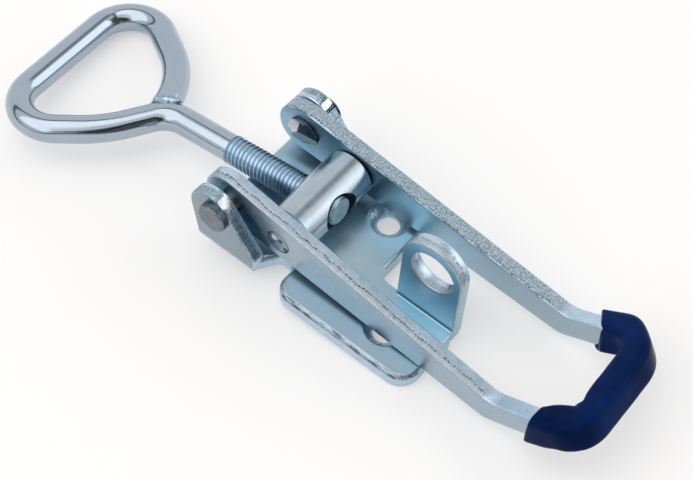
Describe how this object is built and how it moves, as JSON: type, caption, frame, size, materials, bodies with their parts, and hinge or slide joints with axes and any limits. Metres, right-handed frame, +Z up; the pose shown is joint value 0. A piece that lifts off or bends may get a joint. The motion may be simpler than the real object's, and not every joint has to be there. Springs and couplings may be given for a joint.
{
  "type": "over centre toggle latch",
  "caption": "Over centre toggle latch: a cranked U lever with a dipped grip tightens a triangular rod eye on a threaded bolt, with a padlock tab on its base plate.",
  "frame": {"origin": "on the mounting face of the base plate, midway between the ears, straight under the lever's pivot", "axes": "+X from the eye towards the handle, +Y across the arms to the side away from the padlock tab's strip, +Z up off the mounting face"},
  "size_m": [0.1876, 0.0567, 0.04],
  "materials": {
    "plate_zinc": "blue passivated zinc on pressed steel sheet",
    "lever_zinc": "blue passivated zinc on a sheared and cranked steel bar",
    "grip_plastic": "glossy navy dipped plastisol",
    "rivet_zinc": "zinc plated, dull rolled head",
    "barrel_zinc": "zinc plated turned bar",
    "rod_zinc": "bright zinc plated bent rod with a rolled thread"
  },
  "bodies": {
    "base": {"base_plate": "plate_zinc", "pivot_rivet_near": "rivet_zinc", "pivot_rivet_far": "rivet_zinc"},
    "lever": {"lever": "lever_zinc", "handle_grip": "grip_plastic"},
    "barrel": {"cross_barrel": "barrel_zinc"},
    "bolt": {"eye_bolt": "rod_zinc"}
  },
  "joints": [
    {"name": "lever_pivot", "type": "hinge", "parent": "base", "child": "lever", "pos_m": [0, 0, 0.015], "axis": [0, -1, 0], "range_deg": [0, 165]},
    {"name": "barrel_swivel", "type": "hinge", "parent": "lever", "child": "barrel", "pos_m": [0.016, 0, 0.0127], "axis": [0, -1, 0], "range_deg": [-165, 0]},
    {"name": "bolt_screw", "type": "slide", "parent": "barrel", "child": "bolt", "axis": [-0.9857, 0, -0.1686], "range_m": [-0.02, 0.008]}
  ],
  "couplings": [
    {"joint": "barrel_swivel", "follows": "lever_pivot", "ratio": -1}
  ]
}
